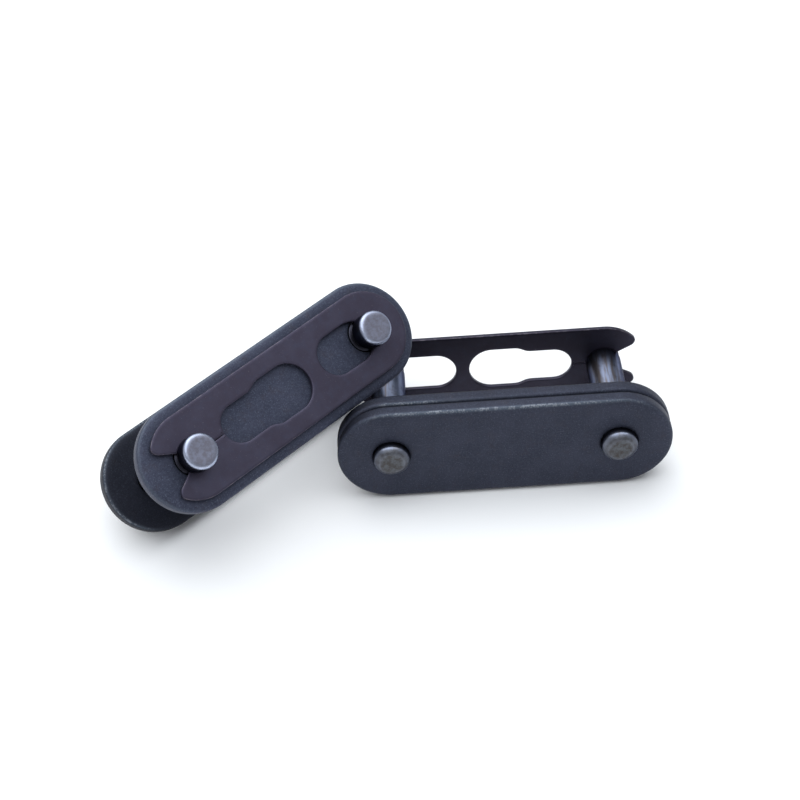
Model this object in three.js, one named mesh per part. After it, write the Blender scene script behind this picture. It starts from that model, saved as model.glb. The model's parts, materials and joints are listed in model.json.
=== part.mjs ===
// Two connecting links for double-pitch roller chain, one upright and one leaning over it.
// Each link is five loose pieces: a plate with two pins riveted into it, a slip-on cover plate,
// and a spring clip that snaps into grooves near the pins' free ends.
// Millimetres, +Z up. In a link's own frame X runs from pin A to pin B, Y runs along the pins
// from the riveted plate's outer face, and Z runs across the plates.
import * as THREE from 'three';

// Chain sizes
const PITCH = 31.75;
const PLATE_HEIGHT = 15;
const PLATE_THICK = 2.03;
const PIN_RADIUS = 2.545;
const RIVETED_CLEARANCE = 0.02;
const COVER_CLEARANCE = 0.06;
const EDGE_ROUNDING = 0.25;
const EDGE_STEPS = 2;

// Pins: the riveted tail stands out of the riveted plate, the free end stands out of the clip
const PIN_TAIL = 1.65;
const PIN_END = 21.9;
const TAIL_CHAMFER = 0.75;
const END_CHAMFER = 0.55;
const NECK_RADIUS = 1.75;
const GROOVE_PLAY = 0.1;

// Spring clip, seated with its inner face CLIP_SEAT along the pins
const CLIP_SEAT = 18.15;
const CLIP_THICK = 0.65;
const CLIP_HALF_HEIGHT = 6.02;
const CLIP_ROUNDING = 0.12;
const SEAT_RADIUS = NECK_RADIUS + 0.08;
const REAR_WINDOW = {
  half: 2.95, wideFrom: 2.9, endCentre: 7.2,
  flareX: 0.55, flareHalf: 2.1, easeX: 1.4,
};
const FRONT_WINDOW = {
  wideHalf: 3.42, wideCentre: 15.5, stepFrom: 18.6, stepTo: 21.3,
  narrowHalf: 2.72, narrowCentre: 24.4,
};
// The leaning link's clip has both windows a little nearer pin A
const WINDOW_SHIFT = { right: { rear: 0, front: 0 }, left: { rear: -1.3, front: -0.7 } };
const SLIT_WIDTH = 0.3;
const THROAT_HALF = 1.2;
const MOUTH = {
  shoulder: 4.15, bulgeX: 36.65, bulge: 3.6,
  chinX: 36.3, chin: 2.92, innerX: 35.75, inner: 2.62,
};

// Where the cover plates sit: near the riveted plate on the upright link, against the clip on the other
const RIGHT_COVER_GAP = 0.25;
const LEFT_COVER_GAP = 0.16;

// Poses: the upright link leans back on its clip, the other lies across its end on one plate edge
const LEFT_YAW = 222.43;
const LEFT_TILT = 48.9;
const LEFT_OFFSET = { x: -10.58, y: 22.71 };

// A full circle in a plate is cut into as many segments as a pin, so hole and pin match
const ARC_STEPS = 20;
const CLIP_STEPS = 8;
const PIN_SEGMENTS = 2 * ARC_STEPS;

const PLATE_FINISH = { color: 0x39414e, roughness: 0.62, metalness: 0.7 };
const PIN_FINISH = { color: 0x9aa1ab, roughness: 0.3, metalness: 1 };
const CLIP_FINISH = { color: 0x372f38, roughness: 0.5, metalness: 0.8 };

const radians = THREE.MathUtils.degToRad;

// A shape in the (length, height) plane, thickened along the pins from y = start
function sheet(shape, start, thick, rounding, steps) {
  const geometry = new THREE.ExtrudeGeometry(shape, {
    depth: thick - 2 * rounding,
    bevelThickness: rounding,
    bevelSize: rounding,
    bevelOffset: -rounding,
    bevelSegments: EDGE_STEPS,
    curveSegments: steps,
  });
  geometry.rotateX(Math.PI / 2);
  geometry.translate(0, start + thick - rounding, 0);
  return geometry;
}

function plate(start, clearance) {
  const half = PLATE_HEIGHT / 2;
  const shape = new THREE.Shape();
  shape.absarc(0, 0, half, Math.PI / 2, Math.PI * 1.5, false);
  shape.absarc(PITCH, 0, half, -Math.PI / 2, Math.PI / 2, false);
  for (const x of [0, PITCH]) {
    const hole = new THREE.Path();
    hole.absarc(x, 0, PIN_RADIUS + clearance, 0, Math.PI * 2, true);
    shape.holes.push(hole);
  }
  return sheet(shape, start, PLATE_THICK, EDGE_ROUNDING, ARC_STEPS);
}

function pin(x) {
  const grooveFrom = CLIP_SEAT - GROOVE_PLAY;
  const grooveTo = CLIP_SEAT + CLIP_THICK + GROOVE_PLAY;
  const profile = [
    [0, -PIN_TAIL],
    [PIN_RADIUS - TAIL_CHAMFER, -PIN_TAIL],
    [PIN_RADIUS, -PIN_TAIL + TAIL_CHAMFER],
    [PIN_RADIUS, grooveFrom],
    [NECK_RADIUS, grooveFrom],
    [NECK_RADIUS, grooveTo],
    [PIN_RADIUS, grooveTo],
    [PIN_RADIUS, PIN_END - END_CHAMFER],
    [PIN_RADIUS - END_CHAMFER, PIN_END],
    [0, PIN_END],
  ].map(([r, y]) => new THREE.Vector2(r, y));
  const geometry = new THREE.LatheGeometry(profile, PIN_SEGMENTS);
  geometry.translate(x, 0, 0);
  return geometry;
}

// The window behind pin A: narrow where it hugs the pin's neck, wide enough further on to pass the pin
function rearWindow(shift) {
  const { half, wideFrom, flareX, flareHalf, easeX } = REAR_WINDOW;
  const endCentre = REAR_WINDOW.endCentre + shift;
  const hole = new THREE.Path();
  hole.absarc(0, 0, SEAT_RADIUS, Math.PI / 2, Math.PI * 1.5, false);
  hole.bezierCurveTo(flareX, -flareHalf, easeX, -half, wideFrom, -half);
  hole.absarc(endCentre, 0, half, -Math.PI / 2, Math.PI / 2, false);
  hole.lineTo(wideFrom, half);
  hole.bezierCurveTo(easeX, half, flareX, flareHalf, 0, SEAT_RADIUS);
  return hole;
}

// One leg's edge from the prong tip inward: mouth, notch round pin B, slit, front window.
// side is 1 for the upper leg and -1 for the lower one; points run from the tip to the web.
function legEdge(side, shift) {
  const slit = SLIT_WIDTH / 2;
  const notch = new THREE.Path();
  const throatAngle = Math.asin(THROAT_HALF / SEAT_RADIUS);
  const slitAngle = Math.PI - Math.asin(slit / SEAT_RADIUS);
  const { wideHalf, narrowHalf } = FRONT_WINDOW;
  const along = ['wideCentre', 'stepFrom', 'stepTo', 'narrowCentre'].map(key => FRONT_WINDOW[key] + shift);
  const [wideCentre, stepFrom, stepTo, narrowCentre] = along;
  const middle = (stepFrom + stepTo) / 2;
  notch.absarc(PITCH, 0, SEAT_RADIUS, throatAngle, slitAngle, false);
  notch.absarc(narrowCentre, 0, narrowHalf, Math.asin(slit / narrowHalf), Math.PI / 2, false);
  notch.lineTo(stepTo, narrowHalf);
  notch.bezierCurveTo(middle, narrowHalf, middle, wideHalf, stepFrom, wideHalf);
  notch.absarc(wideCentre, 0, wideHalf, Math.PI / 2, Math.PI, false);
  return notch.getPoints(CLIP_STEPS).map(p => new THREE.Vector2(p.x, side * p.y));
}

// The prong's outer corner and rounded tip, from the clip's straight edge round to the mouth
function prongTip(side) {
  const { shoulder, bulgeX, bulge, chinX, chin, innerX, inner } = MOUTH;
  const from = Math.asin(shoulder / CLIP_HALF_HEIGHT);
  const tip = new THREE.Path();
  tip.absarc(PITCH, 0, CLIP_HALF_HEIGHT, Math.PI / 2, from, true);
  tip.bezierCurveTo(bulgeX, bulge, chinX, chin, innerX, inner);
  return tip.getPoints(CLIP_STEPS).map(p => new THREE.Vector2(p.x, side * p.y));
}

function springClip(shift) {
  const back = new THREE.Path();
  back.absarc(0, 0, CLIP_HALF_HEIGHT, Math.PI / 2, Math.PI * 1.5, false);
  const outline = [
    ...back.getPoints(CLIP_STEPS),
    ...prongTip(-1),
    ...legEdge(-1, shift.front),
    ...legEdge(1, shift.front).reverse().slice(1),
    ...prongTip(1).reverse(),
  ];
  const shape = new THREE.Shape(outline);
  shape.holes.push(rearWindow(shift.rear));
  return sheet(shape, CLIP_SEAT, CLIP_THICK, CLIP_ROUNDING, CLIP_STEPS);
}

// The five pieces of one link, in its own frame
function linkPieces(side, coverStart) {
  return {
    [`${side}_riveted_plate`]: [plate(0, RIVETED_CLEARANCE), PLATE_FINISH],
    [`${side}_pin_a`]: [pin(0), PIN_FINISH],
    [`${side}_pin_b`]: [pin(PITCH), PIN_FINISH],
    [`${side}_cover_plate`]: [plate(coverStart, COVER_CLEARANCE), PLATE_FINISH],
    [`${side}_spring_clip`]: [springClip(WINDOW_SHIFT[side]), CLIP_FINISH],
  };
}

// Leaning back until both the cover plate's rear edge and the clip's outer edge touch the ground
function rightPose(coverEnd) {
  const half = PLATE_HEIGHT / 2;
  const lean = Math.atan2(half - CLIP_HALF_HEIGHT, CLIP_SEAT + CLIP_THICK - coverEnd);
  const rise = coverEnd * Math.sin(lean) + half * Math.cos(lean);
  return new THREE.Matrix4().makeRotationX(-lean).setPosition(0, 0, rise);
}

// Lying over the upright link's end with one long edge of the riveted plate on the ground
function leftPose() {
  const tilt = radians(LEFT_TILT);
  const turn = new THREE.Matrix4().makeRotationZ(radians(LEFT_YAW));
  turn.multiply(new THREE.Matrix4().makeRotationX(tilt));
  return turn.setPosition(LEFT_OFFSET.x, LEFT_OFFSET.y, PLATE_HEIGHT / 2 * Math.cos(tilt));
}

function addPieces(group, pieces, pose) {
  for (const [name, [geometry, finish]] of Object.entries(pieces)) {
    geometry.applyMatrix4(pose);
    const mesh = new THREE.Mesh(geometry, new THREE.MeshStandardMaterial(finish));
    mesh.name = name;
    group.add(mesh);
  }
}

// Puts the origin at the middle of the bottom of the whole part's box
function centreOnGround(group) {
  const box = new THREE.Box3().setFromObject(group, true);
  const middle = box.getCenter(new THREE.Vector3());
  for (const mesh of group.children) {
    mesh.geometry.translate(-middle.x, -middle.y, -box.min.z);
  }
}

const rightCoverStart = PLATE_THICK + RIGHT_COVER_GAP;
const leftCoverStart = CLIP_SEAT - LEFT_COVER_GAP - PLATE_THICK;
const links = new THREE.Group();
addPieces(links, linkPieces('right', rightCoverStart), rightPose(rightCoverStart + PLATE_THICK));
addPieces(links, linkPieces('left', leftCoverStart), leftPose());
centreOnGround(links);

export default links;
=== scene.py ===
"""Two connecting links for roller chain, one upright and one leaning over it.

Every piece is built in its link's own frame, in millimetres: X runs from pin A to pin B, Y runs
along the pins from the riveted plate's outer face, and Z runs across the plates. The frames are
worked out from the CAD nodes and the record.
"""
import json
import math

import bmesh
import bpy
import numpy as np
from mathutils import Matrix, Vector
from mathutils.geometry import delaunay_2d_cdt


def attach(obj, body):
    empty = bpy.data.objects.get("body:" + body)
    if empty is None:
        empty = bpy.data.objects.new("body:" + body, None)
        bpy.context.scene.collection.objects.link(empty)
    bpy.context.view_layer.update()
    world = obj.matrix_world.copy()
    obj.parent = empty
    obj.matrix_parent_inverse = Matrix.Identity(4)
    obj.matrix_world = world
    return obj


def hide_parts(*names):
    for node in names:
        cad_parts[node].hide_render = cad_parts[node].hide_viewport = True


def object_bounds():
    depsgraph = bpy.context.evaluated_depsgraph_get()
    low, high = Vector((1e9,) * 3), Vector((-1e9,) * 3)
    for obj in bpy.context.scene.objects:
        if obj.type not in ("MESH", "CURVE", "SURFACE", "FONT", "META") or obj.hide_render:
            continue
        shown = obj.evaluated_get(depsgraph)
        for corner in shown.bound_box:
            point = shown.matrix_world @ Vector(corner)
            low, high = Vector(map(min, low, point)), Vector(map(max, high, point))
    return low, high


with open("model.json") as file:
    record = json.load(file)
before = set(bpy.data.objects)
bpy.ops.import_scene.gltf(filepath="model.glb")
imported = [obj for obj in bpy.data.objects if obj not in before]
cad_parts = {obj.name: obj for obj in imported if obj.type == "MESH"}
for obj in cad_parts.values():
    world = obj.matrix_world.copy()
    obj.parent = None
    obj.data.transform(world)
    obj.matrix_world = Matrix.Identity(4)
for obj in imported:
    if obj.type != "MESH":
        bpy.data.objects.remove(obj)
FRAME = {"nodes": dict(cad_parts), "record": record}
CAD_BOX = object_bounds()

MM = 0.001

# Outline sampling, the sharpest mitre when a loop is moved, and the fill of flat faces
OUTLINE_STEP = 0.28
MITRE_LIMIT = 0.6
FILL_STEP = 0.9
FILL_ROW_SHARE = 0.87
FILL_MARGIN = 0.55
FILL_TOLERANCE = 1e-7

# Plates: blanked steel, rolled over at one face's edge and torn at the other. Each point of a
# profile is how far it is set into the material, how far it is along the pins, and its wear,
# which is above 0 where the steel is rubbed and painted lighter as a rim highlight, and below 0
# where it is darker, as on the torn edge and under the painted shade near pin A.
PLATE_OUTER_PROFILE = (
    (1.25, 0.0, 0.0), (0.95, 0.008, 0.0), (0.7, 0.03, 0.05), (0.46, 0.07, 0.25), (0.28, 0.125, 0.7),
    (0.14, 0.21, 1.0), (0.04, 0.34, 0.7), (0.0, 0.5, 0.2), (0.0, 0.7, 0.0), (0.0, 1.2, 0.0),
    (0.015, 1.32, 0.0), (0.03, 1.7, -0.1), (0.055, 1.88, -0.7), (0.11, 1.98, -1.0), (0.2, 2.02, -1.0),
    (0.34, 2.03, -0.8), (0.95, 2.03, 0.0),
)
PLATE_HOLE_PROFILE = (
    (0.6, 0.0, 0.0), (0.22, 0.0, 0.1), (0.1, 0.05, 0.5), (0.0, 0.2, 0.2),
    (0.0, 1.85, 0.0), (0.08, 1.99, 0.4), (0.2, 2.03, 0.1), (0.6, 2.03, 0.0),
)
HOLE_CLEARANCE = {"riveted_plate": 0.02, "cover_plate": 0.06}

# Where along the link each plate's edge is rubbed and painted lighter as a rim highlight, how much, and how
# much painted shadow of the leaning link darkens its wall near pin A
HANDLED_AND_LIT = ((-5.5, 1.0, 6.0, 26.0, 31.0, 37.5), (0.2, 0.8, 1.0, 0.9, 0.7, 0.3))
PLATE_WEAR_LIGHT_SHADE = {
    ("right", "riveted_plate"): (*HANDLED_AND_LIT, 0.6),
    ("right", "cover_plate"): ((-3.0, 0.0, 5.0, 8.0, 20.0, 26.0), (0.0, 0.7, 0.7, 0.35, 0.2, 0.0), 0.7),
    ("left", "riveted_plate"): ((0.0, 30.0, 37.0), (0.35, 0.55, 0.6), 0.0),
    ("left", "cover_plate"): ((0.0, 30.0, 37.0), (0.7, 0.7, 0.5), 0.0),
}
# Painted shadow of the leaning link on the right plates' walls near pin A: places along the link, and the
# share of the shadow at each
WALL_SHADE_ALONG = (-7.0, -3.0, 1.0)
WALL_SHADE_SHARE = (1.0, 0.8, 0.0)
# Profile points set in by less than this are on a plate's wall
WALL_INSET = 0.05
# A plate's low edge is hardly rubbed or painted lighter: heights across the plate, and the share of rubbing
# and rim highlight there
RUBBED_AND_LIT_HEIGHT = ((-7.4, -4.5), (0.1, 1.0))
# The link whose plates have their rolled edges on the far side along the pins
ROLLED_ON_TOP = "left"

# Clip: its CAD solid's sizes, with a tighter slit. Places along the link are from pin A's axis.
SEAT_RADIUS = 1.83
CLIP_HALF = 6.02
REAR_HALF = 2.95
REAR_WIDE_FROM = 2.9
REAR_END = 7.2
REAR_FLARE = (0.55, 2.1)
REAR_EASE = 1.4
FRONT_WIDE_HALF = 3.42
FRONT_WIDE_CENTRE = 15.5
FRONT_STEP = (18.6, 21.3)
FRONT_NARROW_HALF = 2.72
FRONT_NARROW_CENTRE = 24.4
SLIT_HALF = 0.04
THROAT_HALF = 1.2
SHOULDER = 4.15
BULGE = (36.65, 3.6)
CHIN = (36.3, 2.92)
MOUTH_INNER = (35.75, 2.62)
# The rounding of its edges, and how far in its flat faces start
CLIP_EDGE = 0.13
CLIP_FACE_INSET = 0.4
# It is rubbed beyond this height and beyond this place, and only this share as much elsewhere
WORN_CLIP_HEIGHT = 4.6
WORN_PRONG_FROM = 33.2
WINDOW_WEAR_SHARE = 0.1
# How far each clip's rear window end and front window are moved along the link
WINDOW_SHIFT = {"right": (0.0, 0.0), "left": (-1.3, -0.7)}

# Pins
PIN_SEGMENTS = 96
GROOVE_PLAY = 0.1
NECK_RADIUS = 1.75
# How much smaller the radius is past the groove
HEAD_TRIM = 0.09
# Flats hammered on the riveted tails: their depth as a share of the radius, how narrow they are,
# how far out of the riveted plate they start, and the angles that they face
TAIL_FLATTENING = 0.09
TAIL_FLAT_SHARPNESS = 5
TAIL_FLAT_START = 0.6
TAIL_FLATS = {"pin_a": (165, 285), "pin_b": (140, 320)}

# Camera: aimed at a point in millimetres, from AIM_DISTANCE away
CAMERA_AIM = (2.35, 2.4, 8.84)
AIM_DISTANCE = 250.0
AIM_ELEVATION = 45.29
AIM_AZIMUTH = 0.44
CAMERA_ROLL = -4.0
LENS_MM = 78.84
SENSOR_MM = 36.0
NEAR_CLIP = 0.01

# Stage, in metres and watts: half the floor's width, the sky, and each light's name, place,
# aim, size, power and tint
FLOOR_HALF = 3.0
SKY_TINT = (0.93, 0.96, 1.0, 1.0)
SKY_STRENGTH = 0.44
LIGHTS = (
    ("overhead", (-0.05, 0.1, 0.6), (0, 0, 0), (1.2, 1.0), 7.0, (0.92, 0.96, 1.0)),
    ("rear_fill", (-0.25, 0.45, 0.5), (0, 0, 0.01), (0.5, 0.4), 0.9, (1, 1, 1)),
)

# Blued plate steel
BLUED_DARK = (0.027, 0.031, 0.052)
BLUED_LIGHT = (0.036, 0.040, 0.065)
BLUED_BROWN = (0.041, 0.034, 0.043)
GRAIN_LIGHT = (0.058, 0.068, 0.100)
GRAIN_DARK = (0.018, 0.020, 0.028)
SAND_LIGHT = (0.084, 0.098, 0.138)
SAND_DARK = (0.018, 0.019, 0.028)
SCRATCH = (0.085, 0.094, 0.124)
# Painted shade near pin A on the right plates' walls, and the darker torn edges
SHADE_AND_DARK_EDGE = (0.006, 0.006, 0.009)
# Rubbed edges, worn and also painted lighter as a rim highlight
RUBBED_EDGE_HIGHLIGHT = (0.115, 0.140, 0.180)
BARE_STEEL = (0.33, 0.35, 0.39)
PLATE_SPECULAR = 0.3

# Ground pin steel
GROUND_BLUE = (0.26, 0.30, 0.42)
GROUND_BROWN = (0.15, 0.135, 0.14)
PIN_STAIN = (0.13, 0.12, 0.13)
# Painted shade on the pin's shaft, towards its ends and its two sides along the link
PIN_PAINTED_SHADE = (0.045, 0.045, 0.060)
HEAD_WARM = (0.175, 0.172, 0.213)
HEAD_COOL = (0.232, 0.245, 0.318)
TAIL_WARM = (0.070, 0.064, 0.062)
TAIL_COOL = (0.112, 0.118, 0.130)
POLISHED_RIM = (0.50, 0.55, 0.70)
PIN_SPECULAR_TINT = (0.35, 0.36, 0.42, 1.0)

# Browned clip steel
BROWNED_DARK = (0.040, 0.035, 0.055)
BROWNED_LIGHT = (0.047, 0.043, 0.067)
BROWNED_BLUE = (0.044, 0.047, 0.078)
CLIP_SPECK = (0.115, 0.105, 0.125)
CLIP_RUBBED = (0.17, 0.15, 0.17)
CLIP_SPECULAR = 0.35

# Studio paper under the links
PAPER_DARK = (0.93, 0.93, 0.93)
PAPER_LIGHT = (0.95, 0.95, 0.95)
PAPER_ROUGHNESS = 0.9

# Each plate's material: its name, tone, and how much of the worn edge is bare metal. The tone scales
# one plate steel as painted light and shade: 0.42 darkens the left riveted plate for the shade of its
# cover plate, and 1.35 lightens the lit left cover plate.
PLATE_FINISH = {
    ("right", "riveted_plate"): ("plate_steel_worn_edges_highlight", 0.93, 0.62),
    ("right", "cover_plate"): ("plate_steel_rubbed_edges_highlight", 0.85, 0.8),
    ("left", "riveted_plate"): ("plate_steel_painted_shade", 0.42, 0.8),
    ("left", "cover_plate"): ("plate_steel_painted_light_sound_edges", 1.35, 0.15),
}
# Each clip's material: its name and tone. The tone scales one clip steel as painted light and shade:
# 0.8 darkens the right clip, shaded by its plates, and 1.3 lightens the lit left clip.
CLIP_FINISH = {"right": ("clip_steel_dark", 0.8), "left": ("clip_steel_pale", 1.3)}


# ---- frames of the two links ----

def corner_points(node):
    return np.array([vertex.co[:] for vertex in FRAME["nodes"][node].data.vertices])


def centre(node):
    return np.unique(np.round(corner_points(node), 7), axis=0).mean(axis=0)


def span(node, axis):
    along = corner_points(node) @ axis
    return along.min(), along.max()


def mount_axis(name):
    for mount in FRAME["record"]["mounts"]:
        if mount["name"] == name:
            return np.array(mount["axis"])
    raise KeyError(name)


class Link:
    """One link's frame, and its sizes in millimetres."""

    def __init__(self, side, along_pins):
        self.side = side
        plate = f"{side}_riveted_plate"
        pins = centre(f"{side}_pin_b") - centre(f"{side}_pin_a")
        self.x = pins / np.linalg.norm(pins)
        self.y = along_pins / np.linalg.norm(along_pins)
        self.z = np.cross(self.x, self.y)
        low, high = span(plate, self.z)
        self.half = (high - low) / 2 / MM
        start = span(plate, self.x)[0] + (high - low) / 2
        foot = span(plate, self.y)[0]
        self.origin = self.x * start + self.y * foot + self.z * (low + high) / 2
        self.pitch = np.linalg.norm(pins) / MM
        self.cover = self.along(f"{side}_cover_plate")
        self.clip = self.along(f"{side}_spring_clip")
        self.pin = self.along(f"{side}_pin_a")
        self.pin_radius = np.ptp(span(f"{side}_pin_a", self.z)) / 2 / MM

    def along(self, node):
        low, high = span(node, self.y)
        foot = self.origin @ self.y
        return (low - foot) / MM, (high - foot) / MM

    def matrix(self):
        rows = np.eye(4)
        rows[:3, 0] = self.x
        rows[:3, 1] = self.y
        rows[:3, 2] = self.z
        rows[:3, 3] = self.origin
        return Matrix(rows.tolist())


# ---- outlines, as loops with the material on their left ----

def arc(cx, cz, radius, start, end):
    """Points on an arc, angles in degrees, without its last point."""
    sweep = math.radians(end - start)
    count = max(3, math.ceil(abs(sweep) * radius / OUTLINE_STEP))
    angles = math.radians(start) + sweep * np.arange(count) / count
    return np.stack([cx + radius * np.cos(angles), cz + radius * np.sin(angles)], 1)


def line(p, q):
    p, q = np.array(p, float), np.array(q, float)
    count = max(1, math.ceil(np.linalg.norm(q - p) / OUTLINE_STEP))
    return p + (q - p) * (np.arange(count) / count)[:, None]


def bezier(a, b, c, d):
    a, b, c, d = (np.array(point, float) for point in (a, b, c, d))
    count = max(3, math.ceil(np.linalg.norm(d - a) / OUTLINE_STEP))
    t = (np.arange(count) / count)[:, None]
    return a * (1 - t) ** 3 + 3 * b * t * (1 - t) ** 2 + 3 * c * t ** 2 * (1 - t) + d * t ** 3


def plate_loops(link, clearance):
    half = link.half
    outline = np.concatenate([
        arc(link.pitch, 0, half, -90, 90),
        line((link.pitch, half), (0, half)),
        arc(0, 0, half, 90, 270),
        line((0, -half), (link.pitch, -half)),
    ])
    holes = [arc(x, 0, link.pin_radius + clearance, 360, 0) for x in (0, link.pitch)]
    return outline, holes


def leg_edge(link):
    """The upper leg's edge from the mouth inward to the middle of the web."""
    shift = WINDOW_SHIFT[link.side][1]
    wide_centre = FRONT_WIDE_CENTRE + shift
    narrow_centre = FRONT_NARROW_CENTRE + shift
    throat = math.degrees(math.asin(THROAT_HALF / SEAT_RADIUS))
    slit_end = 180 - math.degrees(math.asin(SLIT_HALF / SEAT_RADIUS))
    narrow_start = math.degrees(math.asin(SLIT_HALF / FRONT_NARROW_HALF))
    slit_from = (link.pitch + SEAT_RADIUS * math.cos(math.radians(slit_end)), SLIT_HALF)
    slit_to = (narrow_centre + FRONT_NARROW_HALF * math.cos(math.radians(narrow_start)), SLIT_HALF)
    throat_at = (link.pitch + SEAT_RADIUS * math.cos(math.radians(throat)), THROAT_HALF)
    step_from, step_to = (x + shift for x in FRONT_STEP)
    middle = (step_from + step_to) / 2
    return np.concatenate([
        line(MOUTH_INNER, throat_at),
        arc(link.pitch, 0, SEAT_RADIUS, throat, slit_end),
        line(slit_from, slit_to),
        arc(narrow_centre, 0, FRONT_NARROW_HALF, narrow_start, 90),
        line((narrow_centre, FRONT_NARROW_HALF), (step_to, FRONT_NARROW_HALF)),
        bezier((step_to, FRONT_NARROW_HALF), (middle, FRONT_NARROW_HALF),
               (middle, FRONT_WIDE_HALF), (step_from, FRONT_WIDE_HALF)),
        line((step_from, FRONT_WIDE_HALF), (wide_centre, FRONT_WIDE_HALF)),
        arc(wide_centre, 0, FRONT_WIDE_HALF, 90, 180),
        [(wide_centre - FRONT_WIDE_HALF, 0)],
    ])


def prong_edge(link):
    """The upper prong's edge from the clip's straight side round to the mouth."""
    corner = math.degrees(math.asin(SHOULDER / CLIP_HALF))
    shoulder = (link.pitch + CLIP_HALF * math.cos(math.radians(corner)), SHOULDER)
    return np.concatenate([
        arc(link.pitch, 0, CLIP_HALF, 90, corner),
        bezier(shoulder, BULGE, CHIN, MOUTH_INNER),
    ])


def clip_loops(link):
    upper = np.concatenate([prong_edge(link), leg_edge(link)])
    lower = upper * (1, -1)
    outline = np.concatenate([
        line((link.pitch, CLIP_HALF), (0, CLIP_HALF)),
        arc(0, 0, CLIP_HALF, 90, 270),
        line((0, -CLIP_HALF), (link.pitch, -CLIP_HALF)),
        lower,
        upper[::-1][1:-1],
    ])
    rear_end = REAR_END + WINDOW_SHIFT[link.side][0]
    window = np.concatenate([
        arc(0, 0, SEAT_RADIUS, 90, 270),
        bezier((0, -SEAT_RADIUS), (REAR_FLARE[0], -REAR_FLARE[1]),
               (REAR_EASE, -REAR_HALF), (REAR_WIDE_FROM, -REAR_HALF)),
        line((REAR_WIDE_FROM, -REAR_HALF), (rear_end, -REAR_HALF)),
        arc(rear_end, 0, REAR_HALF, -90, 90),
        line((rear_end, REAR_HALF), (REAR_WIDE_FROM, REAR_HALF)),
        bezier((REAR_WIDE_FROM, REAR_HALF), (REAR_EASE, REAR_HALF),
               (REAR_FLARE[0], REAR_FLARE[1]), (0, SEAT_RADIUS)),
    ])
    return outline, [window[::-1]]


def inset(loop, amount):
    """The loop moved into its material by amount, with mitred corners."""
    before = loop - np.roll(loop, 1, 0)
    after = np.roll(loop, -1, 0) - loop
    normals = []
    for step in (before, after):
        step = step / np.linalg.norm(step, axis=1)[:, None]
        normals.append(np.stack([-step[:, 1], step[:, 0]], 1))
    total = normals[0] + normals[1]
    share = 1 + (normals[0] * normals[1]).sum(1)
    return loop + amount * total / np.maximum(share, MITRE_LIMIT)[:, None]


# ---- meshes ----

class Layers:
    """The named numbers kept on each vertex, which the materials read."""

    def __init__(self, bm, names):
        self.layers = [bm.verts.layers.float.new(name) for name in names]

    def mark(self, vertex, values):
        for layer, value in zip(self.layers, values):
            vertex[layer] = value


def inside(points, loop):
    """Even-odd test of points against one closed loop."""
    hit = np.zeros(len(points), bool)
    ends = np.roll(loop, -1, 0)
    for (ax, az), (bx, bz) in zip(loop, ends):
        if az == bz:
            continue
        crosses = (points[:, 1] < az) != (points[:, 1] < bz)
        at = ax + (points[:, 1] - az) * (bx - ax) / (bz - az)
        hit ^= crosses & (points[:, 0] < at)
    return hit


def fill_points(loops):
    """A staggered grid of points in the material, clear of every loop."""
    every = np.concatenate(loops)
    low, high = every.min(0), every.max(0)
    rows = np.arange(low[1], high[1], FILL_STEP * FILL_ROW_SHARE)
    grid = []
    for index, z in enumerate(rows):
        shift = FILL_STEP / 2 * (index % 2)
        grid += [(x, z) for x in np.arange(low[0] + shift, high[0], FILL_STEP)]
    grid = np.array(grid)
    keep = inside(grid, loops[0])
    for hole in loops[1:]:
        keep &= ~inside(grid, hole)
    grid = grid[keep]
    gaps = np.min([np.linalg.norm(grid - point, axis=1) for point in every], axis=0)
    return grid[gaps > FILL_MARGIN]


def fill_face(bm, rings, y):
    """Fills one flat face between its rings of vertices, at height y along the pins."""
    loops = [np.array([(v.co.x, v.co.z) for v in ring]) for ring in rings]
    extra = fill_points(loops)
    flat = [vertex for ring in rings for vertex in ring]
    edges = []
    start = 0
    for loop in loops:
        count = len(loop)
        edges += [(start + i, start + (i + 1) % count) for i in range(count)]
        start += count
    coords = [Vector(p) for loop in loops for p in loop] + [Vector(p) for p in extra]
    found = delaunay_2d_cdt(coords, edges, [], 0, FILL_TOLERANCE)
    places, triangles, origins = found[0], found[2], found[3]
    vertices = []
    for place, origin in zip(places, origins):
        known = [i for i in origin if i < len(flat)]
        if known:
            vertices.append(flat[known[0]])
            continue
        vertices.append(bm.verts.new((place.x, y, place.y)))
    middles = np.array([np.mean([places[i][:] for i in tri], axis=0) for tri in triangles])
    keep = inside(middles, loops[0])
    for hole in loops[1:]:
        keep &= ~inside(middles, hole)
    for tri, kept in zip(triangles, keep):
        if kept and len(set(tri)) == 3:
            bm.faces.new([vertices[i] for i in tri]).smooth = False


def clip_wear(wear, on_wall, x, z):
    """A clip is rubbed on its outer edge, and hardly in its windows."""
    outer = abs(z) > WORN_CLIP_HEIGHT or x > WORN_PRONG_FROM
    return wear if outer else wear * WINDOW_WEAR_SHARE


def plate_wear_light_shade(along, rubbed, wall_shade):
    """A function for a plate's wear at a place, from how rubbed the plate is and how much painted shade
    darkens its wall near pin A.
    """
    def value(wear, on_wall, x, z):
        if wear > 0:
            return wear * float(np.interp(x, along, rubbed) * np.interp(z, *RUBBED_AND_LIT_HEIGHT))
        # Painted shadow of the leaning link, on the wall near pin A
        shadow_dark = -wall_shade * float(np.interp(x, WALL_SHADE_ALONG, WALL_SHADE_SHARE))
        return min(wear, shadow_dark) if on_wall else wear
    return value


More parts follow.
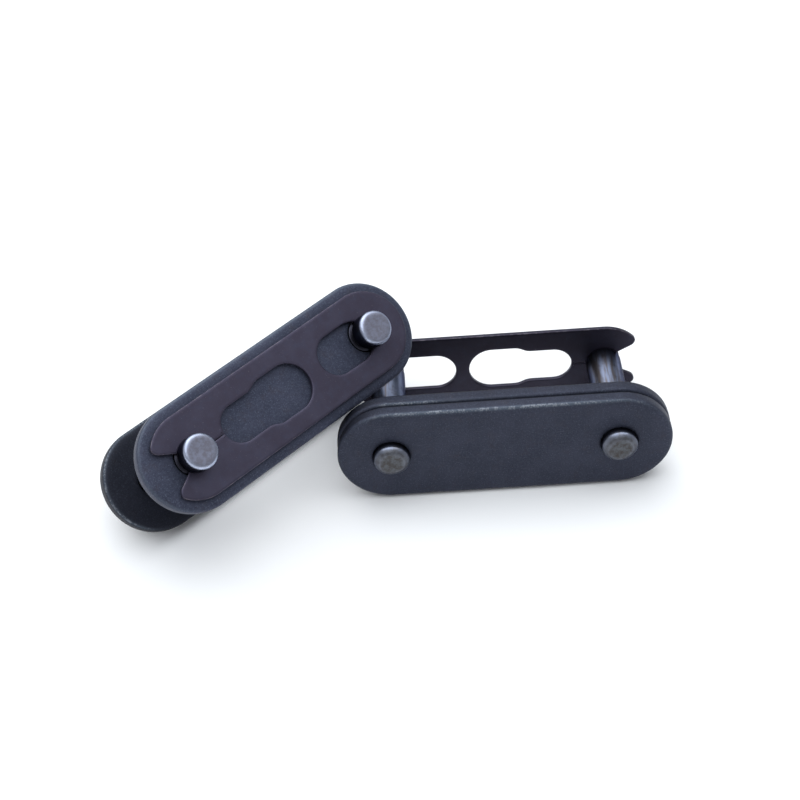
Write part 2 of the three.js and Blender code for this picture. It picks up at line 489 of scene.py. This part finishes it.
def wall(bm, layers, loop, profile, start, thick, wear_at):
    """Rings of vertices down the edge of a loop, joined by quads. Returns the first and last ring."""
    scale = thick / profile[-1][1]
    rings = []
    for amount, depth, wear in profile:
        ring = []
        for x, z in inset(loop, amount):
            vertex = bm.verts.new((x, start + depth * scale, z))
            layers.mark(vertex, (wear_at(wear, amount < WALL_INSET, x, z),))
            ring.append(vertex)
        rings.append(ring)
    for first, second in zip(rings, rings[1:]):
        for i in range(len(first)):
            j = (i + 1) % len(first)
            bm.faces.new((first[i], first[j], second[j], second[i])).smooth = True
    return rings[0], rings[-1]


def sheet_mesh(loops, profiles, start, thick, wear_at):
    bm = bmesh.new()
    layers = Layers(bm, ("wear",))
    ends = [wall(bm, layers, *pair, start, thick, wear_at) for pair in zip(loops, profiles)]
    fill_face(bm, [first for first, last in ends], start)
    fill_face(bm, [last for first, last in ends], start + thick)
    bmesh.ops.recalc_face_normals(bm, faces=bm.faces)
    return bm


def flattened(radius, y, angle, flats):
    """A radius of the pin, less where its tail is hammered flat at the angles given."""
    near = max(max(0, math.cos(angle - math.radians(flat))) ** TAIL_FLAT_SHARPNESS for flat in flats)
    depth = min(1, max(0, -y - TAIL_FLAT_START))
    return radius * (1 - near * TAIL_FLATTENING * depth)


def lathe_mesh(x, profile, flats):
    """A closed turned body round the line along Y at x, from points as in pin_profile."""
    bm = bmesh.new()
    layers = Layers(bm, ("wear", "face", "shade", "dull", "side"))
    rings = []
    for radius, y, *marks in profile:
        count = PIN_SEGMENTS if radius > 0 else 1
        ring = []
        for i in range(count):
            angle = 2 * math.pi * i / count
            reach = flattened(radius, y, angle, flats)
            vertex = bm.verts.new((x + reach * math.cos(angle), y, reach * math.sin(angle)))
            # side is 1 towards the two sides along the link, where the pin is darkened as painted shade
            layers.mark(vertex, (*marks, math.cos(angle) ** 2))
            ring.append(vertex)
        rings.append(ring)
    for first, second in zip(rings, rings[1:]):
        for i in range(PIN_SEGMENTS):
            j = (i + 1) % PIN_SEGMENTS
            corners = [first[i % len(first)], first[j % len(first)],
                       second[j % len(second)], second[i % len(second)]]
            bm.faces.new(list(dict.fromkeys(corners))).smooth = True
    bmesh.ops.recalc_face_normals(bm, faces=bm.faces)
    return bm


def clip_profile(thick):
    """The clip's edge, rounded alike at both faces, as in the plates' profiles."""
    r = CLIP_EDGE
    low_edge = (
        (CLIP_FACE_INSET, 0.0, 0.0), (r, 0.0, 0.2), (r * 0.45, r * 0.15, 0.8),
        (r * 0.12, r * 0.45, 1.0), (0.0, r, 0.5),
    )
    high_edge = tuple((amount, thick - y, wear) for amount, y, wear in reversed(low_edge))
    return low_edge + high_edge


def pin_profile(link):
    """The pin from its riveted tail to its free end, as (radius, y, wear, face, shade, dull).

    face is 1 on the end faces, shade darkens the pin towards its ends, as painted shade near the clip and
    the plates, and dull is 1 on the tail.
    lathe_mesh adds side, which is 1 where the pin faces along the link and 0 across it, and which darkens
    those two sides as painted shade.
    """
    tail, end = link.pin
    r = link.pin_radius
    head = r - HEAD_TRIM
    low, high = link.clip[0] - GROOVE_PLAY, link.clip[1] + GROOVE_PLAY
    return (
        (0.0, tail + 0.06, 0, 1, 0, 1), (0.7, tail + 0.05, 0, 1, 0, 1),
        (1.3, tail + 0.02, 0, 1, 0, 1), (1.6, tail, 0.05, 1, 0, 1),
        (1.78, tail + 0.03, 0.15, 1, 0, 1), (2.05, tail + 0.22, 0.1, 1, 0, 1),
        (2.3, tail + 0.46, 0.2, 0.8, 0, 1), (r - 0.06, tail + 0.68, 0.35, 0.5, 0, 1),
        (r, tail + 0.88, 0.1, 0.2, 0.6, 1), (r, -0.3, 0, 0, 1, 1),
        (r, 2.4, 0, 0, 0.6, 0), (r, 3.2, 0, 0, 0, 0), (r, 8.0, 0, 0, 0, 0),
        (r, 13.0, 0, 0, 0.1, 0), (r, low - 2.2, 0, 0, 0.4, 0),
        (r, low - 0.16, 0, 0, 0.9, 0), (r - 0.03, low - 0.05, 0, 0, 1, 0),
        (r - 0.12, low, 0, 0, 1, 0), (NECK_RADIUS + 0.1, low, 0, 0, 1, 0),
        (NECK_RADIUS, low + 0.08, 0, 0, 1, 0), (NECK_RADIUS, high - 0.08, 0, 0, 1, 0),
        (NECK_RADIUS + 0.1, high, 0, 0, 1, 0), (head - 0.12, high, 0, 0, 1, 0),
        (head - 0.03, high + 0.05, 0, 0, 1, 0), (head, high + 0.16, 0, 0, 1, 0),
        (head, (high + end) / 2, 0, 0, 0.95, 0), (head, end - 0.62, 0.1, 0, 0.8, 0),
        (head - 0.02, end - 0.46, 0.8, 0.2, 0.2, 0), (head - 0.08, end - 0.3, 1, 0.4, 0, 0),
        (head - 0.2, end - 0.13, 1, 0.5, 0, 0), (head - 0.34, end - 0.04, 0.6, 0.7, 0, 0),
        (head - 0.5, end, 0.1, 1, 0, 0), (head - 0.8, end, 0, 1, 0, 0),
        (1.0, end - 0.01, 0, 1, 0, 0), (0.5, end - 0.02, 0, 1, 0, 0), (0.0, end - 0.02, 0, 1, 0, 0),
    )


# ---- materials ----

class Nodes:
    """A short way to build a node tree."""

    def __init__(self, name):
        self.material = bpy.data.materials.new(name)
        self.material.use_nodes = True
        self.tree = self.material.node_tree
        self.shader = self.tree.nodes["Principled BSDF"]
        self.place = self.add("ShaderNodeAttribute", attribute_name="place").outputs["Vector"]

    def add(self, kind, **values):
        node = self.tree.nodes.new(kind)
        for key, value in values.items():
            setattr(node, key, value)
        return node

    def link(self, output, socket):
        self.tree.links.new(output, socket)

    def scaled(self, scale):
        """The place in millimetres, as kept on the vertices, times scale for X, Y and Z."""
        mapping = self.add("ShaderNodeMapping")
        mapping.inputs["Scale"].default_value = scale
        self.link(self.place, mapping.inputs["Vector"])
        return mapping.outputs["Vector"]

    def noise(self, scale, detail=3.0, roughness=0.5, stretch=(1, 1, 1), distortion=0.0):
        texture = self.add("ShaderNodeTexNoise")
        self.link(self.scaled([s * scale for s in stretch]), texture.inputs["Vector"])
        texture.inputs["Scale"].default_value = 1.0
        texture.inputs["Detail"].default_value = detail
        texture.inputs["Roughness"].default_value = roughness
        texture.inputs["Distortion"].default_value = distortion
        return texture.outputs["Fac"]

    def attribute(self, name):
        return self.add("ShaderNodeAttribute", attribute_name=name).outputs["Fac"]

    def ranged(self, value, low, high, out_low=0.0, out_high=1.0):
        node = self.add("ShaderNodeMapRange", interpolation_type="SMOOTHSTEP")
        self.link(value, node.inputs["Value"])
        node.inputs["From Min"].default_value = low
        node.inputs["From Max"].default_value = high
        node.inputs["To Min"].default_value = out_low
        node.inputs["To Max"].default_value = out_high
        return node.outputs["Result"]

    def math(self, operation, first, second):
        node = self.add("ShaderNodeMath", operation=operation)
        for socket, value in zip(node.inputs, (first, second)):
            if isinstance(value, (int, float)):
                socket.default_value = value
            else:
                self.link(value, socket)
        return node.outputs["Value"]

    def mix(self, factor, first, second):
        node = self.add("ShaderNodeMix", data_type="RGBA")
        self.link(factor, node.inputs["Factor"])
        for name, value in (("A", first), ("B", second)):
            socket = [s for s in node.inputs if s.name == name and s.type == "RGBA"][0]
            if isinstance(value, tuple):
                socket.default_value = (*value, 1.0)
            else:
                self.link(value, socket)
        return [s for s in node.outputs if s.type == "RGBA"][0]

    def bump(self, height, strength, distance_mm, normal=None):
        node = self.add("ShaderNodeBump")
        node.inputs["Strength"].default_value = strength
        node.inputs["Distance"].default_value = distance_mm * MM
        self.link(height, node.inputs["Height"])
        if normal is not None:
            self.link(normal, node.inputs["Normal"])
        return node.outputs["Normal"]

    def surface(self, **sockets):
        names = {"color": "Base Color", "metallic": "Metallic", "roughness": "Roughness", "normal": "Normal"}
        for key, value in sockets.items():
            socket = self.shader.inputs[names[key]]
            if isinstance(value, (int, float)):
                socket.default_value = value
            else:
                self.link(value, socket)
        return self.material


def toned(color, tone):
    return tuple(channel * tone for channel in color)


def blued_steel(n, tone, grain, sand):
    """Blued steel's colour: patches, brown bloom, grain and sand in two tones, and scratches."""
    patches = n.ranged(n.noise(0.22, 4, 0.6), 0.35, 0.68)
    color = n.mix(patches, toned(BLUED_DARK, tone), toned(BLUED_LIGHT, tone))
    brown = n.ranged(n.noise(0.6, 5, 0.65), 0.5, 0.75, 0, 0.4)
    color = n.mix(brown, color, toned(BLUED_BROWN, tone))
    color = n.mix(n.ranged(grain, 0.45, 0.68, 0, 0.45), color, toned(GRAIN_LIGHT, tone))
    color = n.mix(n.ranged(grain, 0.42, 0.3, 0, 0.4), color, toned(GRAIN_DARK, tone))
    color = n.mix(n.ranged(sand, 0.54, 0.7, 0, 0.7), color, toned(SAND_LIGHT, tone))
    color = n.mix(n.ranged(sand, 0.44, 0.3, 0, 0.5), color, toned(SAND_DARK, tone))
    scratches = n.ranged(n.noise(1.0, 2, 0.5, (0.35, 1, 7), 0.6), 0.66, 0.74, 0, 0.3)
    return n.mix(scratches, color, toned(SCRATCH, tone))


def worn_lit_shaded_edges(n, color, bright):
    """The colour with darker torn edges, painted shade near pin A, and rubbed edges painted lighter as a rim
    highlight over it, and how bare the metal is.
    """
    wear = n.attribute("wear")
    # Below 0: darker torn edges and painted shade near pin A. Above 0: rubbed edges, painted lighter as a
    # rim highlight
    color = n.mix(n.ranged(wear, -0.05, -0.9, 0, 0.85), color, SHADE_AND_DARK_EDGE)
    color = n.mix(n.ranged(wear, 0, 1, 0, 0.7), color, RUBBED_EDGE_HIGHLIGHT)
    flecks = n.math("ADD", n.noise(0.9, 2, 0.5), n.ranged(n.noise(4.2, 3, 0.6), 0.3, 0.7, -0.22, 0.22))
    ragged = n.math("MULTIPLY", wear, n.ranged(flecks, 0.26, 0.72))
    bare = n.ranged(ragged, 0.2, 0.9, 0, bright)
    return n.mix(bare, color, BARE_STEEL), bare


def plate_material(name, tone, bright):
    """Blued plate steel. tone scales its colour as painted light and shade, and bright is how much of the
    worn edge is bare metal.
    """
    n = Nodes(name)
    grain = n.noise(2.6, 5, 0.7)
    sand = n.noise(5.5, 3, 0.6)
    color, bare = worn_lit_shaded_edges(n, blued_steel(n, tone, grain, sand), bright)
    rough = n.ranged(grain, 0.3, 0.75, 0.5, 0.64)
    normal = n.bump(n.noise(0.35, 2, 0.5), 0.5, 0.03)
    normal = n.bump(grain, 0.4, 0.03, normal)
    normal = n.bump(sand, 0.3, 0.012, normal)
    metal = n.ranged(bare, 0, 1, 0.5, 0.95)
    n.shader.inputs["Specular IOR Level"].default_value = PLATE_SPECULAR
    return n.surface(color=color, metallic=metal, roughness=rough, normal=normal)


def pin_shaft_color(n):
    """The pin's side: ground bands and stains, darkened towards its ends and its two sides along the link by
    painted shade.
    """
    bands = n.ranged(n.noise(1.1, 3, 0.6, (1, 0.1, 1)), 0.42, 0.62)
    shaft = n.mix(bands, GROUND_BLUE, GROUND_BROWN)
    stains = n.ranged(n.noise(0.8, 4, 0.65), 0.5, 0.72, 0, 0.6)
    shaft = n.mix(stains, shaft, PIN_STAIN)
    # Painted shade: the two sides along the link and the ends of the shaft are darkened
    side_shade = n.ranged(n.attribute("side"), 0.25, 0.9, 0, 0.85)
    shaded = n.math("MAXIMUM", n.attribute("shade"), side_shade)
    return n.mix(shaded, shaft, PIN_PAINTED_SHADE)


def pin_face_color(n):
    """The pin's end faces, the riveted tail's duller than the free end's."""
    spots = n.ranged(n.noise(1.5, 6, 0.72), 0.36, 0.66)
    head = n.mix(spots, HEAD_WARM, HEAD_COOL)
    tail = n.mix(spots, TAIL_WARM, TAIL_COOL)
    return n.mix(n.attribute("dull"), head, tail)


def pin_material():
    n = Nodes("ground_pin_steel")
    color = n.mix(n.attribute("face"), pin_shaft_color(n), pin_face_color(n))
    patchy = n.ranged(n.noise(1.4, 4, 0.7), 0.25, 0.7, 0.6, 1)
    rubbed = n.math("MULTIPLY", n.attribute("wear"), patchy)
    color = n.mix(rubbed, color, POLISHED_RIM)
    rings = n.noise(1.0, 3, 0.6, (0.4, 6, 0.4))
    face_rough = n.math("MULTIPLY", n.attribute("face"), 0.14)
    rough = n.math("ADD", n.ranged(rings, 0.3, 0.7, 0.3, 0.38), face_rough)
    normal = n.bump(rings, 0.12, 0.006)
    normal = n.bump(n.noise(0.8, 3, 0.5), 0.25, 0.03, normal)
    n.shader.inputs["Specular Tint"].default_value = PIN_SPECULAR_TINT
    return n.surface(color=color, metallic=1.0, roughness=rough, normal=normal)


def browned_steel(n, tone):
    """Browned steel's colour: patches, bluish bloom and fine pale specks."""
    patches = n.ranged(n.noise(0.3, 4, 0.55), 0.35, 0.68)
    color = n.mix(patches, toned(BROWNED_DARK, tone), toned(BROWNED_LIGHT, tone))
    bloom = n.ranged(n.noise(0.9, 4, 0.6), 0.45, 0.75, 0, 0.4)
    color = n.mix(bloom, color, toned(BROWNED_BLUE, tone))
    specks = n.ranged(n.noise(5.5, 2, 0.5), 0.68, 0.76, 0, 0.5)
    return n.mix(specks, color, toned(CLIP_SPECK, tone))


def clip_material(name, tone):
    """Browned clip steel. tone scales its colour as painted light and shade."""
    n = Nodes(name)
    color = browned_steel(n, tone)
    rub = n.math("MULTIPLY", n.attribute("wear"), n.ranged(n.noise(1.2, 4, 0.7), 0.3, 0.7))
    bare = n.ranged(rub, 0.2, 0.95, 0, 0.6)
    color = n.mix(bare, color, CLIP_RUBBED)
    rough = n.ranged(n.noise(2.0, 4, 0.6), 0.3, 0.7, 0.34, 0.45)
    normal = n.bump(n.noise(0.3, 2, 0.5), 0.25, 0.03)
    normal = n.bump(n.noise(3.5, 3, 0.6), 0.25, 0.015, normal)
    metal = n.ranged(bare, 0, 1, 0.7, 0.9)
    n.shader.inputs["Specular IOR Level"].default_value = CLIP_SPECULAR
    return n.surface(color=color, metallic=metal, roughness=rough, normal=normal)


# ---- pieces ----

def keep_places(bm, scale):
    """Keeps each vertex's place in millimetres, in its piece's own frame, for the materials."""
    layer = bm.verts.layers.float_vector.new("place")
    for vertex in bm.verts:
        vertex[layer] = vertex.co * scale


def finish_piece(bm, name, body, material, link):
    mesh = bpy.data.meshes.new(name)
    keep_places(bm, 1.0)
    bm.transform(link.matrix() @ Matrix.Scale(MM, 4))
    bm.to_mesh(mesh)
    bm.free()
    mesh.materials.append(material)
    piece = bpy.data.objects.new(name, mesh)
    bpy.context.scene.collection.objects.link(piece)
    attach(piece, body)
    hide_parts(name.removesuffix("_detail"))
    return piece


def body_of(node):
    for body, nodes in FRAME["record"]["behaviour"]["bodies"].items():
        if node in nodes:
            return body
    raise KeyError(node)


def plate_piece(link, which, start, material, wear_at, flip):
    """A plate whose rolled edge is on its low side along the pins, or on its high side if flip."""
    thick = link.cover[1] - link.cover[0]
    outline, holes = plate_loops(link, HOLE_CLEARANCE[which])
    profiles = [PLATE_OUTER_PROFILE] + [PLATE_HOLE_PROFILE] * len(holes)
    if flip:
        profiles = [turned(profile) for profile in profiles]
    bm = sheet_mesh([outline, *holes], profiles, start, thick, wear_at)
    node = f"{link.side}_{which}"
    return finish_piece(bm, node + "_detail", body_of(node), material, link)


def turned(profile):
    """A profile with its two faces changed over."""
    depth = profile[-1][1]
    return tuple((amount, depth - y, wear) for amount, y, wear in reversed(profile))


def clip_piece(link, material):
    thick = link.clip[1] - link.clip[0]
    outline, holes = clip_loops(link)
    profile = clip_profile(thick)
    bm = sheet_mesh([outline, *holes], [profile] * 2, link.clip[0], thick, clip_wear)
    node = f"{link.side}_spring_clip"
    return finish_piece(bm, node + "_detail", body_of(node), material, link)


def pin_piece(link, which, x, material):
    bm = lathe_mesh(x, pin_profile(link), TAIL_FLATS[which])
    node = f"{link.side}_{which}"
    return finish_piece(bm, node + "_detail", body_of(node), material, link)


def build_link(link, pin_steel):
    for which, start in (("riveted_plate", 0.0), ("cover_plate", link.cover[0])):
        material = plate_material(*PLATE_FINISH[link.side, which])
        wear_at = plate_wear_light_shade(*PLATE_WEAR_LIGHT_SHADE[link.side, which])
        plate_piece(link, which, start, material, wear_at, link.side == ROLLED_ON_TOP)
    pin_piece(link, "pin_a", 0.0, pin_steel)
    pin_piece(link, "pin_b", link.pitch, pin_steel)
    clip_piece(link, clip_material(*CLIP_FINISH[link.side]))


# ---- stage ----

def place_camera():
    data = bpy.data.cameras.new("camera")
    data.lens = LENS_MM
    data.sensor_width = SENSOR_MM
    data.clip_start = NEAR_CLIP
    camera = bpy.data.objects.new("camera", data)
    bpy.context.scene.collection.objects.link(camera)
    elevation, azimuth = math.radians(AIM_ELEVATION), math.radians(AIM_AZIMUTH)
    level = math.cos(elevation)
    towards = Vector((math.sin(azimuth) * level, -math.cos(azimuth) * level, math.sin(elevation)))
    turn = towards.to_track_quat("Z", "Y").to_matrix().to_4x4()
    roll = Matrix.Rotation(math.radians(CAMERA_ROLL), 4, "Z")
    at = Matrix.Translation((Vector(CAMERA_AIM) + towards * AIM_DISTANCE) * MM)
    camera.matrix_world = at @ turn @ roll
    bpy.context.scene.camera = camera


def area_light(name, place, aim, size, power, tint):
    data = bpy.data.lights.new(name, "AREA")
    data.shape = "RECTANGLE"
    data.size, data.size_y = size
    data.energy = power
    data.color = tint
    light = bpy.data.objects.new(name, data)
    bpy.context.scene.collection.objects.link(light)
    turn = (Vector(place) - Vector(aim)).to_track_quat("Z", "Y").to_matrix().to_4x4()
    light.matrix_world = Matrix.Translation(place) @ turn


def floor_material():
    n = Nodes("studio_paper")
    shade = n.mix(n.ranged(n.noise(0.02, 3, 0.5), 0.3, 0.7), PAPER_DARK, PAPER_LIGHT)
    normal = n.bump(n.noise(1.2, 3, 0.5), 0.05, 0.02)
    return n.surface(color=shade, roughness=PAPER_ROUGHNESS, normal=normal)


def build_stage(floor_z):
    bm = bmesh.new()
    bmesh.ops.create_grid(bm, x_segments=8, y_segments=8, size=FLOOR_HALF)
    keep_places(bm, 1 / MM)
    mesh = bpy.data.meshes.new("floor")
    bm.to_mesh(mesh)
    bm.free()
    mesh.materials.append(floor_material())
    floor = bpy.data.objects.new("floor", mesh)
    floor.location.z = floor_z
    bpy.context.scene.collection.objects.link(floor)


def light_stage():
    world = bpy.data.worlds.new("studio")
    bpy.context.scene.world = world
    world.use_nodes = True
    background = world.node_tree.nodes["Background"]
    background.inputs["Color"].default_value = SKY_TINT
    background.inputs["Strength"].default_value = SKY_STRENGTH
    for light in LIGHTS:
        area_light(*light)
    bpy.context.scene.view_settings.view_transform = "Standard"


def main():
    place_camera()
    right = Link("right", mount_axis("upright_cover_inner_face"))
    left = Link("left", mount_axis("leaning_riveted_inner_face"))
    pin_steel = pin_material()
    build_link(right, pin_steel)
    build_link(left, pin_steel)
    build_stage(CAD_BOX[0][2])
    light_stage()


main()
